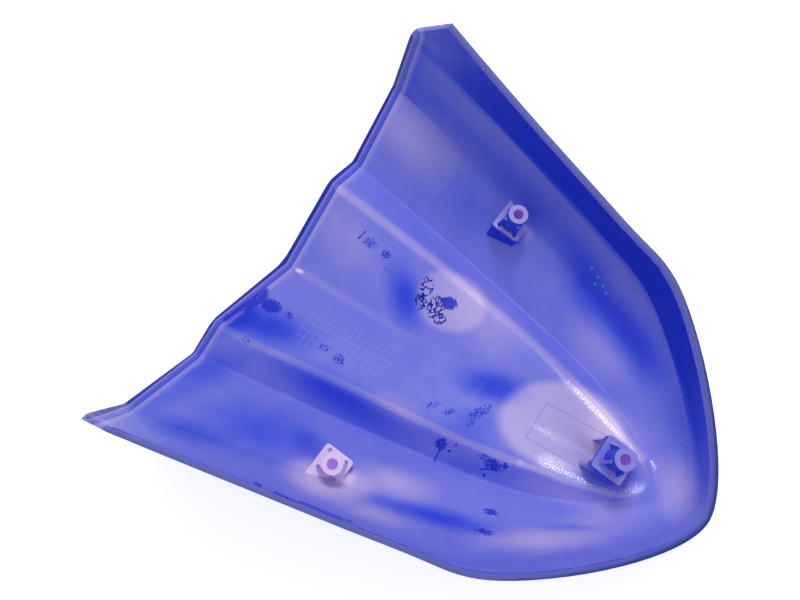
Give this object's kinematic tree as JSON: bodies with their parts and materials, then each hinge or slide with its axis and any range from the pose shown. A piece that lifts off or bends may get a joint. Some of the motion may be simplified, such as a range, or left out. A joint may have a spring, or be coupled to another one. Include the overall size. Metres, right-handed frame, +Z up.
{
  "type": "headlight cover",
  "caption": "Shield-shaped moulded shell with creased panels, a raised middle, a rounded nose and hollow screw bosses inside; it covers a motorbike's headlight area.",
  "frame": {"origin": "on the floor under the middle of the bounding box, with the cover lying on its outer face", "axes": "+Z up out of the open side, +Y towards the nose, +X towards the boss on the left when seen from above with the nose away"},
  "size_m": [0.2286, 0.239, 0.0942],
  "materials": {
    "cover": "gloss blue paint outside; bare pale lilac moulding with blue overspray inside"
  },
  "bodies": {
    "root": {"headlight_cover": "cover"}
  },
  "joints": []
}
